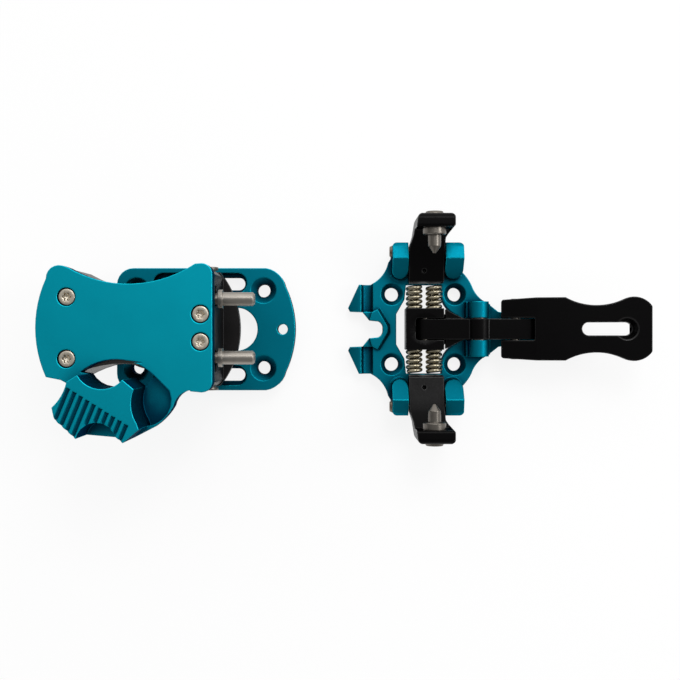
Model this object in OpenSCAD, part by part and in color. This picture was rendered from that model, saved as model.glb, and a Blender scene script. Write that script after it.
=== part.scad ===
// Touring binding for a ski: a toe unit with two sprung wings and a lever,
// and a heel unit with a turning tower, two pins and a climbing step.
// Millimetres. +X points to the ski's tip, +Z up, and the ski's top is z = 0.
// The origin is the centre of the toe unit's four screws.

/* [Toe plate] */
// Toe screws, distance along the ski
toe_pitch_x = 27; // [25:0.5:28]
// Toe screws, distance across the ski
toe_pitch_y = 30; // [28:0.5:32]
// Clear diameter of a toe screw hole
toe_hole_d = 5.9; // [5:0.1:6.5]
// Diameter of a toe screw's countersink
toe_sink_d = 9.6; // [8:0.1:10.4]
// Thickness of the toe plate
toe_plate_t = 6.5; // [5:0.1:6.6]
// Reach of the crampon ears behind the rear screws
ear_reach = 18.7; // [17:0.1:22]
// Half the width over the crampon ears
ear_half = 19.1; // [17:0.1:21]
// Diameter of the crampon groove across the ears
groove_d = 5; // [4:0.1:5.6]
// Height of the raised chevron round the rear notch
chevron_h = 1.6; // [0.6:0.1:2.4]
// Thickness of the nose under the lever
nose_t = 3.4; // [2:0.1:3.6]

/* [Wings] */
// Half the distance between the two wing axles
axle_y = 32.6; // [31.5:0.1:34]
// Height of the wing axles
axle_z = 13; // [12.8:0.1:14]
// Diameter of a wing axle
axle_d = 4; // [3:0.1:4.6]
// Width of a wing's arm along the ski
wing_w = 14.9; // [13:0.1:15]
// Width of a wing's upright along the ski
upright_w = 15.8; // [13:0.1:17]
// Wall of a wing's upright that carries the toe pin
upright_t = 5.5; // [4:0.1:7]
// Height of the toe pins above the ski
toe_pin_z = 29; // [27:0.1:31]
// Distance between the tips of the two toe pins
toe_pin_gap = 61; // [59:0.1:63]
// Diameter of a toe pin's body
toe_pin_d = 5.3; // [4.6:0.1:6]
// Diameter of a toe pin's flange
toe_flange_d = 9.4; // [8:0.1:10.5]
// Thickness of a rear hinge post along the ski
rear_post_t = 6.6; // [5:0.1:8]
// Thickness of a front hinge post along the ski
front_post_t = 7.6; // [5.5:0.1:8]

/* [Wing springs] */
// Outside diameter of a wing spring
spring_od = 7.2; // [6:0.1:7.4]
// Wire diameter of a wing spring
spring_wire = 1.6; // [1.2:0.05:1.7]
// Distance between the two springs of a pair
spring_pitch_x = 8.3; // [8:0.1:9]
// Clear gap between two turns
spring_gap = 0.58; // [0.5:0.02:0.9]
// Width of the spring block across the ski
block_w = 17.4; // [16.4:0.1:18.4]
// Length of the spring block along the ski
block_l = 16; // [15.8:0.1:16.4]

/* [Lever] */
// Distance of the rocker's pivot in front of the origin
rocker_x = 22.6; // [22:0.1:24]
// Height of the rocker's pivot
rocker_z = 14; // [13.5:0.1:15]
// Diameter of the rocker's pivot pin
rocker_pin_d = 6; // [4:0.1:6.4]
// Width of the rocker arm
rocker_w = 8.6; // [7.4:0.1:9]
// Height of the rocker arm
rocker_h = 6.4; // [5.8:0.1:7]
// Swing of the rocker from closed to open, in degrees
rocker_swing = 12; // [10:0.5:12.5]
// Distance from the rocker's pivot to the lever's hinge pin
lever_hinge = 15.3; // [15:0.1:17]
// Diameter of the lever's hinge pin
lever_pin_d = 3.6; // [3:0.1:4]
// Length of the lever from its hinge pin to its front edge
lever_l = 55.2; // [54:0.1:64]
// Width of the lever at its shoulders
lever_w = 26.2; // [24:0.1:30]
// Width of the lever at its waist
lever_waist = 19.6; // [16:0.1:22]
// Upward tilt of the lever, in degrees
lever_tilt = 10; // [9:0.5:12]
// Length of the lever's long slot
lever_slot_l = 20.2; // [16:0.1:24]
// Width of the lever's long slot
lever_slot_w = 5.4; // [4.6:0.1:8]

/* [Heel base] */
// Distance from the toe screws' centre back to the heel screws' centre
heel_back = 95.3; // [94:0.1:120]
// Heel screws, distance along the ski
heel_pitch_x = 54; // [54:0.5:56]
// Heel screws, distance across the ski
heel_pitch_y = 33; // [32.6:0.1:34]
// Clear diameter of a heel screw hole
heel_hole_d = 5.6; // [5:0.1:6.4]
// Diameter of a heel screw's countersink
heel_sink_d = 11; // [8.6:0.1:11.4]
// Thickness of the heel base
heel_base_t = 9; // [8:0.1:10]
// Width of the heel base
heel_base_w = 52; // [50:0.1:56]
// Width of the slider's track
track_w = 18.4; // [17:0.1:19]
// Width of a side slot in the base
side_slot_w = 8.7; // [6:0.1:9]
// Length of a side slot in the base
side_slot_l = 39.9; // [30:0.1:40]
// Width of the narrower slot through a side slot's floor
side_through_w = 5.4; // [4:0.1:5.8]
// Diameter of the small hole near the front edge
front_hole_d = 4.5; // [3:0.1:6]
// Travel of the slider along the base
slide_travel = 25; // [10:0.5:25]
// Diameter of the length screw
length_screw_d = 5; // [4:0.1:5.4]

/* [Heel tower] */
// Distance of the tower's post behind the heel screws' centre
post_back = 19.7; // [19:0.1:21]
// Diameter of the tower's post
post_d = 20; // [16:0.1:21]
// Height of the tower's underside
tower_z = 11.8; // [11.6:0.1:13]
// Thickness of the tower's foot plate
foot_t = 4; // [3:0.1:6]
// Height of the cover's underside
cover_z = 49; // [48:0.1:52]
// Thickness of the cover
cover_t = 7; // [5:0.1:9]
// Height of the climbing step above the cover
riser_h = 16; // [8:0.1:24]
// Radius from the post to the rear edge of the cover
cover_rear_r = 35.6; // [35:0.1:38]
// Distance from the post to the front edge of the cover
cover_front = 31.1; // [30.6:0.1:33]
// Half the width of the cover at its ends
cover_half = 24.4; // [24:0.1:26]
// Half the width of the cover at its waist
cover_waist = 16.6; // [15:0.1:17]
// Head diameter of a cover screw
cover_screw_d = 6.4; // [5:0.1:7]
// Number of grip grooves on the climbing step
groove_count = 10; // [4:1:10]
// Distance between two grip grooves
groove_pitch = 2.75; // [2:0.05:2.9]

/* [Heel pins] */
// Distance between the two heel pins
heel_pin_gap = 23; // [22:0.1:24]
// Height of the heel pins above the ski
heel_pin_z = 39.5; // [38:0.1:41]
// Diameter of a heel pin's body
heel_pin_d = 5.4; // [4.6:0.1:6]
// Diameter of a heel pin's flange
heel_flange_d = 7.5; // [6.6:0.1:8]
// Length of a heel pin in front of its flange
heel_pin_l = 12.6; // [10:0.1:16]
// Spread of each pin arm, in degrees
arm_swing = 8; // [4:0.5:8]
// Wire diameter of the two release springs
release_wire = 1.6; // [1.2:0.05:1.8]
// Outside diameter of the two release springs
release_od = 10; // [9:0.1:10.6]

/* [Fits] */
// Gap on the radius of a pin that turns in its bore
run_fit = 0.06; // [0.02:0.01:0.1]
// Gap on the radius of a pin that is pressed or screwed in
press_fit = 0.02; // [0.01:0.01:0.04]
// Gap between two faces that move past each other
slip = 0.35; // [0.3:0.05:0.5]

/* [Hidden] */
$fn = 48;
// Overshoot of a cut past the face it opens
eps = 1;
// Colours as the object shows them
teal = "#068b9f";
deep_teal = "#027a8c";
black = "#161516";
graphite = "#3a3836";
steel = "#8e8a84";
spring_steel = "#b5ab8c";

// Half pitches of the toe screws
hx = toe_pitch_x / 2;
hy = toe_pitch_y / 2;
// The wing arm's faces along the ski
wing_x = 0.65;
wing_x0 = wing_x - wing_w / 2;
wing_x1 = wing_x + wing_w / 2;
// Faces of the hinge posts along the ski
rear_post_x0 = wing_x0 - slip - rear_post_t;
rear_post_x1 = wing_x0 - slip;
front_post_x0 = wing_x1 + slip;
front_post_x1 = wing_x1 + slip + front_post_t;
// A post's ridge and ends, measured from the axle, and its edges
post_out = 3.6;
post_ridge = 3.1;
post_in = 11.4;
post_rise = 6;
post_fall = 1.6;
post_edge = 1.3;
post_corner = 1.8;
post_foot = 2.4;
post_inner_z = toe_plate_t + 5.5;
// Sloping skirt round the foot of a post's inner end
post_skirt = 0.8;
// The spring block rises by the arc of the rocker's tail
block_rise = rocker_x * rocker_swing * PI / 180;
spring_z = axle_z - block_rise / 2;
// The wing's round nose sits on a short arm, as far under the axle as it rises over it
nose_r = 3.6;
nose_arm = 9.9;
wing_swing = 22;
nose_y = axle_y - nose_arm * cos(wing_swing / 2);
nose_z = axle_z - nose_arm * sin(wing_swing / 2);
// A spring reaches from a seat in the block to the nose at its inmost
seat_depth = 2;
spigot_d = spring_od - 2 * spring_wire - 1;
spring_y0 = block_w / 2 - seat_depth + 0.05;
spring_y1 = axle_y - nose_arm - nose_r - slip;
// Floor of the spring block's pocket and the lip that it has in front
block_floor = 0.8;
block_lip = 2;
// Faces of the spring block along the ski
block_x = -0.1;
block_x0 = block_x - block_l / 2;
block_x1 = block_x + block_l / 2;
// The rocker's tail carries the block on a cross pin
tail_z = rocker_z - block_rise / 2;
tail_r = rocker_h / 2;
block_pin_d = 3;
// Toe pin along the ski and its parts outwards from the tip
toe_pin_x = 2.55;
tip_l = 2.8;
toe_pin_body = 7.3;
toe_flange_t = 3;
toe_flange_y = toe_pin_gap / 2 + toe_pin_body;
upright_y = toe_flange_y + toe_flange_t;
upright_out = upright_y + upright_t;
upright_top = toe_pin_z + toe_flange_d / 2 + 2.3;
upright_x0 = toe_pin_x - upright_w / 2;
toe_shank_d = toe_pin_d - 0.8;
nut_t = 1.1;
// Knuckles that carry the rocker
knuckle_r = rocker_pin_d / 2 + 2;
knuckle_y0 = rocker_w / 2 + slip;
knuckle_w = 6.9;
knuckle_y1 = knuckle_y0 + knuckle_w;
// A ledge behind the knuckle's round top
knuckle_ledge = 0.8;
knuckle_ledge_z = rocker_z - 2.4;
// Lever hinge
hinge_x = rocker_x + lever_hinge;
strip_over = 8.7;
lever_rear = 5.8;
lever_low = 3.5;
lever_high = 4.5;
lever_taper = 0.8;
// The plate's nose reaches under the lever's fork
nose_end = hinge_x + strip_over + 2.4;
nose_half = 6.6;
// Where the lever's waist meets the round lobe at its front
lobe_start = [lever_l - 11.4, lever_w / 2 - 0.9];
lobe_end = [lever_l, lever_w / 2 - 3.8];
// Scooped front end of the lever's slot
lever_slot_in = 7.8;
scoop_depth = 4.4;
scoop_d = lever_slot_w + 5;

// Heel unit, all from the centre of its screws
heel_x = -heel_back;
post_x = heel_x - post_back;
heel_hx = heel_pitch_x / 2;
heel_hy = heel_pitch_y / 2;
front_hole_in = 5.4;
slot_floor = 3.2;
through_x0 = heel_x - 8;
through_end = 1.2;
base_rear = heel_x - heel_hx - 8.3;
base_front = heel_x + heel_hx + 13.5;
track_end = heel_x + 15.3;
track_rear = post_x - 10.5;
side_slot_y = heel_base_w / 2 - side_slot_w / 2 - 2.1;
// The slider's flange runs in an undercut below the track
flange_over = 2.8;
flange_t = 3.7;
slider_lift = 0.3;
slider_front = track_end + track_w / 2 - slip - slide_travel;
screw_z = heel_base_t / 2 + 0.6;
screw_head_d = 7.4;
screw_head_t = 2.4;
screw_hex = 4.6;
screw_tip = 4;
post_step = 4;
disc_d = 34;
disc_z0 = heel_base_t + slip;
disc_z1 = tower_z - slip;
// Tower levels
house_z = tower_z + foot_t;
post_top = heel_pin_z - 8.5;
room_z = heel_pin_z - 5.6;
cover_top = cover_z + cover_t;
step_top = cover_top + riser_h;
turn_z = (house_z + room_z) / 2 - 1;
// Front wall of the housing and the pin arms behind it
wall_out = cover_front - 0.7;
wall_t = 2.2;
// The foot plate is bent up in front of the housing
front_skin = 1;
arm_pivot_x = 15;
arm_y = heel_pin_gap / 2;
arm_half = 3.25;
tail_half = 2.6;
tail_x = -7;
arm_pivot_d = 4;
// How far an arm's pin moves sideways in the front wall
arm_spread = (wall_out - arm_pivot_x) * sin(arm_swing);
flange_x = wall_out + 1;
heel_flange_t = 1.8;
heel_shank_d = heel_pin_d - 0.9;
pin_slot_z = heel_pin_z - heel_shank_d / 2 - slip;
// Release wedge: a cone between the arms' tails
wedge_r = release_od / 2;
tail_y = wedge_r + slip + tail_half;
wedge_l = 7.3;
wedge_tip = 1.5;
wedge_disc = 4;
bore_d = release_od + 1;
adjuster_l = 5.5;
// Cover screws, measured from the post
front_screw = [cover_front - 4.5, 5.2];
rear_screw = [11.7 - cover_rear_r, 11.7];
screw_shank_d = 3.2;
cross_x = wall_out - 4;
cross_z = room_z - 6;
cross_d = 5;
// Gap between two turns of the release springs
release_gap = 1.1;
// A grip groove is a notch with sloping sides
groove_depth = 0.95;
// Floor left under the basin beside the step
basin_floor = 1.2;

// Corners of the climbing step, measured from the post
step_a1 = [-19.3, -19.7];
step_a2 = [-15.5, -17.3];
step_b1 = [0.8, -19];
step_b2 = [4.9, -22.4];
step_c1 = [6, -34.9];
step_c2 = [6.7, -37];
step_tip = [0.9, -41.8];
step_d1 = [-16.1, -40.3];
step_d2 = [-23.8, -33.2];
step_d3 = [-24.7, -29];
// Deepest points of the step's four scallops
scallop_top = [-7.2, -22.4];
scallop_right = [3.9, -27.6];
scallop_low = [-8.6, -34.4];
scallop_left = [-21.6, -25.3];
// Outer edge of the lobe that carries the step
lobe_low = [9, -37.6];
lobe_out = [13.6, -33.6];
lobe_neck = [16.4, -29.7];
lobe_fillet = [18.2, -26];
// The gap between the step and the cover's waist
gap_left = [-18.7, -16.8];
gap_mid = [-1.3, -12.3];
gap_right = [9, -17.8];

// Points on the arc that runs from a through m to b
function arc3(a, m, b, n = 10) =
    let (d = 2 * (a[0] * (m[1] - b[1]) + m[0] * (b[1] - a[1]) + b[0] * (a[1] - m[1])))
    let (cx = ((a * a) * (m[1] - b[1]) + (m * m) * (b[1] - a[1]) + (b * b) * (a[1] - m[1])) / d)
    let (cy = ((a * a) * (b[0] - m[0]) + (m * m) * (a[0] - b[0]) + (b * b) * (m[0] - a[0])) / d)
    let (c = [cx, cy], r = norm(a - c))
    let (ta = angle(a - c), tm = turn(ta, angle(m - c)), tb = turn(ta, angle(b - c)))
    let (span = tm < tb ? tb : tb - 360)
    [for (i = [0 : n]) c + r * [cos(ta + span * i / n), sin(ta + span * i / n)]];
function angle(v) = atan2(v[1], v[0]);
// Turn from angle a on to angle b, counter-clockwise
function turn(a, b) = (b - a + 720) % 360;
// The other half of an outline that is alike on both sides of the X axis
function flip(points) = [for (i = [len(points) - 1 : -1 : 0]) [points[i][0], -points[i][1]]];
// A rounded corner of radius r at point p, where the outline turns from direction u to v
function corner(p, u, v, r, n = 6) =
    [for (i = [0 : n]) p - r * u + r * v + r * (u * sin(90 * i / n) - v * cos(90 * i / n))];

// Plate between two heights
module slab(points, z0, z1) {
    translate([0, 0, z0])
    linear_extrude(z1 - z0)
    polygon(points);
}

// Plate whose outline is seen from the side, as x and z
module side_slab(points, y0, y1) {
    translate([0, y1, 0])
    rotate([90, 0, 0])
    linear_extrude(y1 - y0)
    polygon(points);
}

// Plate whose outline is seen from the end, as y and z
module end_slab(points, x0, x1) {
    translate([x0, 0, 0])
    rotate([90, 0, 90])
    linear_extrude(x1 - x0)
    polygon(points);
}

module rod_x(d, x0, x1, y, z) {
    translate([x0, y, z])
    rotate([0, 90, 0])
    cylinder(d = d, h = x1 - x0);
}

module rod_y(d, y0, y1, x, z) {
    translate([x, y0, z])
    rotate([-90, 0, 0])
    cylinder(d = d, h = y1 - y0);
}

module rod_z(d, z0, z1, x, y) {
    translate([x, y, z0])
    cylinder(d = d, h = z1 - z0);
}

// Screw hole with a countersink at its top
module sunk_hole(x, y, t, hole, sink) {
    over = 0.3;
    rod_z(hole, -eps, t, x, y);
    translate([x, y, t - (sink - hole) / 2])
    cylinder(d1 = hole, d2 = sink + 2 * over, h = (sink - hole) / 2 + over);
}

// Rounded slot through a plate
module slot(x0, x1, y, w, z0, z1) {
    rod_z(w, z0, z1, x0 + w / 2, y);
    rod_z(w, z0, z1, x1 - w / 2, y);
    translate([x0 + w / 2, y - w / 2, z0])
    cube([x1 - x0 - w, w, z1 - z0]);
}

// Coil spring along +Z from z0 to z1, with straight ends
sides = 6;
rings_per_turn = 8;
function coil_turns(wire, gap, len) = floor((len - 2 * wire) / (wire + gap) * 4) / 4;
function coil_path(od, wire, gap, len) =
    let (turns = coil_turns(wire, gap, len), n = turns * rings_per_turn, r = (od - wire) / 2)
    let (rise = len - 2 * wire)
    concat([[r, 0, 0]],
        [for (i = [0 : n])
            [r * cos(360 * i / rings_per_turn), r * sin(360 * i / rings_per_turn), wire + rise * i / n]],
        [[r * cos(360 * turns), r * sin(360 * turns), len]]);
// Direction of the tube at a point of its path
function heading(path, i) =
    i == 0 || i == len(path) - 1 ? [0, 0, 1]
    : let (v = path[min(i + 1, len(path) - 1)] - path[max(i - 1, 0)]) v / norm(v);
module coil(od, wire, gap, len) {
    path = coil_path(od, wire, gap, len);
    n = len(path);
    points = [for (i = [0 : n - 1])
        let (t = heading(path, i), out = [path[i][0], path[i][1], 0] / norm([path[i][0], path[i][1]]))
        let (b0 = cross(t, out), b = b0 / norm(b0), a = cross(b, t))
        for (k = [0 : sides - 1])
            path[i] + wire / 2 * (a * cos(360 * k / sides) + b * sin(360 * k / sides))];
    walls = [for (i = [0 : n - 2])
        for (k = [0 : sides - 1])
        let (p = i * sides + k, q = i * sides + (k + 1) % sides)
        each [[p, p + sides, q], [q, p + sides, q + sides]]];
    ends = [for (k = [1 : sides - 2])
        each [[0, k, k + 1], [(n - 1) * sides, (n - 1) * sides + k + 1, (n - 1) * sides + k]]];
    polyhedron(points, concat(walls, ends));
}
// Least gap between one turn and another, measured on the points of the path
function coil_gap(od, wire, gap, len) =
    let (path = coil_path(od, wire, gap, len), n = len(path), skip = rings_per_turn - 2)
    min([for (i = [0 : n - 1 - skip]) for (j = [i + skip : n - 1]) norm(path[i] - path[j])]) - wire;
spring_len = spring_y1 - spring_y0;
echo(wing_spring_turns = coil_turns(spring_wire, spring_gap, spring_len));
echo(wing_spring_gap = coil_gap(spring_od, spring_wire, spring_gap, spring_len));

// Round bottom of the rear notch
function notch_arc() = arc3([-hx - 3.8, 0], [-hx - 4.2, 2.2], [-hx - 5.6, 3.4], 4);
// Half outline of the toe plate, from the notch to the nose
function toe_half() = concat(
    notch_arc(),
    [[-hx - 9.5, 3.8], [-hx - 12.4, 7.4], [-hx - ear_reach + 0.8, 7.6], [-hx - ear_reach, 9.2]],
    [[-hx - ear_reach + 4.6, ear_half]],
    arc3([-hx - 9.1, ear_half], [-hx - 3.1, ear_half + 5.4], [-hx - 1.3, axle_y - 3.7], 8),
    [[rear_post_x0, axle_y - 2], [front_post_x1, axle_y - 2]],
    arc3([front_post_x1 - 0.4, axle_y - 7.2], [hx + 5.2, hy + 7.1], [hx + 7.1, hy + 4], 6),
    arc3([hx + 7.1, hy + 4], [hx + 8.9, hy + 0.4], [hx + 11.7, hy - 2.5], 6),
    [[rocker_x + 6.1, knuckle_y1 - 0.9], [rocker_x + 10, nose_half + 1]],
    [[hinge_x + 1, nose_half], [nose_end, nose_half], [nose_end, 0]]);

// Half outline of the window under the springs, which reaches to the wings' noses
window_y = spring_y1 + slip;
function toe_window() = concat(
    [[-hx + 1.9, 0], [-hx + 1.9, 6.5], [-hx + 5.4, hy - 2.4], [wing_x0 - 0.6, window_y]],
    [[front_post_x0 - 0.6, window_y]],
    arc3([front_post_x0 - 0.6, hy - 1], [hx - 3.6, hy - 5.6], [hx + 1.6, rocker_w / 2 + 1.4], 6),
    [[hx + 2.6, 0]]);

// Chevron round the rear notch, with sloping front edges
chevron_tip = [-hx - 4.7, 9.3];
chevron_apex = [-hx - 0.2, 1.8];
chevron_slope = 1.8;
chevron_foot = toe_plate_t - 0.6;
chevron_top = toe_plate_t + chevron_h;
function chevron() = concat(notch_arc(),
    [[-hx - 9.5, 3.8], [-hx - 8.5, 7.2], chevron_tip, chevron_apex, [chevron_apex[0], 0]]);
// Wedge that slopes the edge from p to q of a plate that lies on the left of the line
module edge_slope(p, q, w, z0, z1) {
    translate([p[0], p[1], 0])
    rotate([0, 0, angle(q - p)])
    end_slab([[-eps, z0], [0, z0], [w, z1], [w, z1 + eps], [-eps, z1 + eps]], -eps, norm(q - p) + eps);
}

// One hinge post: a round inner end, a ridge over the axle and a rounded free corner
module hinge_post(wing_side, free_side) {
    w = abs(free_side - wing_side);
    out = sign(free_side - wing_side);
    middle = (wing_side + free_side) / 2;
    outer = axle_y + post_out;
    inner = axle_y - post_in;
    ridge_z = axle_z + post_rise;
    profile = [[inner, 0], [inner, post_inner_z], [axle_y - post_ridge, ridge_z],
        [outer - post_edge, ridge_z - post_fall], [outer, ridge_z - post_fall - post_edge],
        [outer, post_foot], [outer - post_foot, 0]];
    intersection() {
        end_slab(profile, middle - w / 2, middle + w / 2);
        union() {
            rod_z(w, 0, ridge_z, middle, inner + w / 2);
            slab(concat([[wing_side, inner + w / 2], [wing_side, outer]],
                corner([free_side, outer], [out, 0], [0, -1], post_corner),
                [[free_side, inner + w / 2]]), 0, ridge_z);
        }
    }
    intersection() {
        translate([middle, inner + w / 2, toe_plate_t - post_skirt])
        cylinder(d1 = w + 4 * post_skirt, d2 = w - post_skirt, h = 2.5 * post_skirt);
        slab([[wing_side, inner - w], [free_side + out * w, inner - w],
            [free_side + out * w, inner + w / 4], [wing_side, inner + w / 4]], 0, ridge_z);
    }
}

module knuckle(y0, y1) {
    difference() {
        union() {
            rod_y(2 * (knuckle_r - knuckle_ledge), y0, y1, rocker_x, rocker_z);
            translate([rocker_x - knuckle_r + knuckle_ledge, y0, 0])
            cube([2 * (knuckle_r - knuckle_ledge), y1 - y0, rocker_z]);
            translate([rocker_x - knuckle_r, y0, 0])
            cube([knuckle_r, y1 - y0, knuckle_ledge_z]);
        }
        rod_y(rocker_pin_d + 2 * press_fit, y0 - eps, y1 + eps, rocker_x, rocker_z);
    }
}

module both_sides() {
    children();
    mirror([0, 1, 0])
    children();
}

module toe_base() {
    color(deep_teal)
    difference() {
        union() {
            difference() {
                slab(concat(toe_half(), flip(toe_half())), 0, toe_plate_t);
                slab(concat(toe_window(), flip(toe_window())), -eps, toe_plate_t + eps);
                // The nose steps down under the lever
                translate([rocker_x + knuckle_r + 1, -knuckle_y1 - eps, nose_t])
                cube([nose_end - rocker_x, 2 * knuckle_y1 + 2 * eps, toe_plate_t]);
            }
            both_sides() {
                hinge_post(rear_post_x1, rear_post_x0);
                hinge_post(front_post_x0, front_post_x1);
                knuckle(knuckle_y0, knuckle_y1);
                difference() {
                    slab(chevron(), chevron_foot, chevron_top);
                    edge_slope(chevron_apex, chevron_tip, chevron_slope, chevron_foot, chevron_top);
                    edge_slope([chevron_apex[0], -eps], chevron_apex, chevron_slope,
                        chevron_foot, chevron_top);
                }
            }
        }
        both_sides() {
            rod_x(axle_d + 2 * press_fit, rear_post_x0 - eps, front_post_x1 + eps, axle_y, axle_z);
            for (x = [-hx, hx])
                sunk_hole(x, hy, toe_plate_t, toe_hole_d, toe_sink_d);
            rod_y(groove_d, 7.4, ear_half + eps, -hx - 10.6, toe_plate_t);
            // The ears fall away to the rear
            side_slab([[-hx - ear_reach - eps, toe_plate_t - 2.6], [-hx - 14.2, toe_plate_t + 0.01],
                [-hx - ear_reach - eps, toe_plate_t + eps]], 5, ear_half + eps);
        }
    }
}

// Steel axle with a low head at its rear end
module wing_axle(side) {
    color(steel)
    translate([0, side * axle_y, axle_z])
    rotate([0, 90, 0]) {
        translate([0, 0, rear_post_x0])
        cylinder(d = axle_d, h = front_post_x1 - rear_post_x0);
        translate([0, 0, rear_post_x0 - 1.1])
        cylinder(d1 = axle_d, d2 = axle_d + 1.2, h = 1.1);
    }
}
module left_wing_axle() { wing_axle(1); }
module right_wing_axle() { wing_axle(-1); }

module rocker_pin() {
    color(steel)
    rod_y(rocker_pin_d, -knuckle_y1, knuckle_y1, rocker_x, rocker_z);
}

// Wing seen from the end of the ski: the sprung arm, the hub and the upright
hub_low = 4.4;
hub_out = 5.4;
hub_foot = 3.5;
arm_crease = [axle_y + 1, axle_z + 4.6];
arm_edge = [nose_y - nose_r + 0.7, nose_z + nose_r - 0.8];
function wing_profile() = concat(
    [arm_edge],
    arc3([nose_y - nose_r, nose_z], [nose_y - nose_r * cos(45), nose_z - nose_r * sin(45)],
        [nose_y, nose_z - nose_r], 8),
    [[axle_y - 2.6, axle_z - hub_low], [axle_y + hub_out, axle_z - hub_foot]],
    [[upright_out - 2.3, axle_z + 1]],
    [[upright_out, axle_z + 6]],
    corner([upright_out, upright_top], [0, 1], [-1, 0], 2.4),
    corner([upright_y, upright_top], [-1, 0], [0, -1], 1),
    [[upright_y, toe_pin_z - 5], arm_crease]);
// Wing seen from above: the upright stands a little further forward than the arm
function wing_plan() = concat(
    [[wing_x0, 0], [wing_x0, axle_y + 1.4], [upright_x0, upright_y - 2]],
    corner([upright_x0 + 0.6, upright_out], [0, 1], [1, 0], 2.4),
    corner([upright_x0 + upright_w, upright_out], [1, 0], [0, -1], 1.8),
    [[upright_x0 + upright_w, upright_y + 0.6], [wing_x1, axle_y + 5.2], [wing_x1, 0]]);

module wing(side) {
    color(black)
    mirror([0, side > 0 ? 0 : 1, 0])
    difference() {
        intersection() {
            end_slab(wing_profile(), wing_x0 - 4 * eps, wing_x1 + 4 * eps);
            slab(wing_plan(), 0, upright_top + eps);
        }
        rod_x(axle_d + 2 * run_fit, wing_x0 - eps, wing_x1 + eps, axle_y, axle_z);
        rod_y(toe_shank_d + 2 * press_fit, upright_y - eps, upright_out + eps, toe_pin_x, toe_pin_z);
        rod_z(1.5, axle_z, axle_z + 3 * nose_r, wing_x - 1, nose_y + 1.6);
    }
}
module left_wing() { wing(1); }
module right_wing() { wing(-1); }

// Toe pin: cone, body, flange and a shank through the upright
module toe_pin(side) {
    color(steel)
    translate([toe_pin_x, side * toe_pin_gap / 2, toe_pin_z])
    rotate([side > 0 ? -90 : 90, 0, 0])
    rotate_extrude()
    polygon([[0, 0], [0.6, 0], [toe_pin_d / 2, tip_l], [toe_pin_d / 2, toe_pin_body],
        [toe_flange_d / 2 - 0.5, toe_pin_body], [toe_flange_d / 2, toe_pin_body + 0.5],
        [toe_flange_d / 2, toe_pin_body + toe_flange_t],
        [toe_shank_d / 2, toe_pin_body + toe_flange_t],
        [toe_shank_d / 2, toe_pin_body + toe_flange_t + upright_t + nut_t],
        [0, toe_pin_body + toe_flange_t + upright_t + nut_t]]);
}
module left_toe_pin() { toe_pin(1); }
module right_toe_pin() { toe_pin(-1); }

// Low ring nut that holds the toe pin outside the upright
module toe_pin_nut(side) {
    color(steel)
    translate([toe_pin_x, side * upright_out, toe_pin_z])
    rotate([side > 0 ? -90 : 90, 0, 0])
    difference() {
        cylinder(d1 = toe_shank_d + 3.4, d2 = toe_shank_d + 2.4, h = nut_t);
        translate([0, 0, -eps])
        cylinder(d = toe_shank_d + 2 * press_fit, h = nut_t + 2 * eps);
    }
}
module left_toe_pin_nut() { toe_pin_nut(1); }
module right_toe_pin_nut() { toe_pin_nut(-1); }

// Block between the two spring pairs, open to the front for the rocker's tail
module spring_block() {
    pocket_y = rocker_w / 2 + slip;
    pocket_x = -tail_r - slip - 0.4;
    z0 = tail_z - tail_r - 2.4;
    z1 = spring_z + spring_od / 2 + 2;
    lip_y = pocket_y + 1.8;
    bowl_d = 2 * (pocket_y + 2.6);
    bowl_depth = 0.8;
    color(black)
    difference() {
        union() {
            slab([[block_x0, -block_w / 2], [block_x1, -block_w / 2], [block_x1, block_w / 2],
                [block_x0, block_w / 2]], z0, z1);
            slab([[block_x1 - eps, -lip_y], [block_x1 + block_lip, -lip_y], [block_x1 + block_lip, lip_y],
                [block_x1 - eps, lip_y]], z0, z0 + block_floor);
            both_sides()
                for (x = [-1, 1])
                    rod_y(spigot_d, 0, spring_y0 + 5,
                        block_x + x * spring_pitch_x / 2, spring_z);
        }
        slab(concat([[block_x1 + eps, -pocket_y], [block_x1 + eps, pocket_y]],
            corner([pocket_x, pocket_y], [-1, 0], [0, -1], 1.2),
            corner([pocket_x, -pocket_y], [0, -1], [1, 0], 1.2)), z0 + block_floor, z1 + eps);
        rod_y(block_pin_d + 2 * press_fit, -block_w, block_w, 0, tail_z);
        both_sides()
            for (x = [-1, 1])
                translate([block_x + x * spring_pitch_x / 2, 0, spring_z])
                rotate([-90, 0, 0])
                difference() {
                    translate([0, 0, block_w / 2 - seat_depth])
                    cylinder(d = spring_od + 0.4, h = seat_depth + eps);
                    translate([0, 0, block_w / 2 - seat_depth - eps])
                    cylinder(d = spigot_d, h = seat_depth + 3 * eps);
                }
        // Bowl round the rear of the pocket
        translate([0, 0, z1 - bowl_depth])
        cylinder(d1 = 2 * pocket_y - 0.6, d2 = bowl_d, h = bowl_depth + 0.05);
    }
}

module block_pin() {
    color(steel)
    rod_y(block_pin_d, -block_w / 2 + seat_depth, block_w / 2 - seat_depth, 0, tail_z);
}

module wing_spring(side, end) {
    color(spring_steel)
    translate([block_x + end * spring_pitch_x / 2, side * spring_y0, spring_z])
    rotate([-90 * side, 0, 0])
    coil(spring_od, spring_wire, spring_gap, spring_len);
}
module left_front_spring() { wing_spring(1, 1); }
module left_rear_spring() { wing_spring(1, -1); }
module right_front_spring() { wing_spring(-1, 1); }
module right_rear_spring() { wing_spring(-1, -1); }

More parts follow.
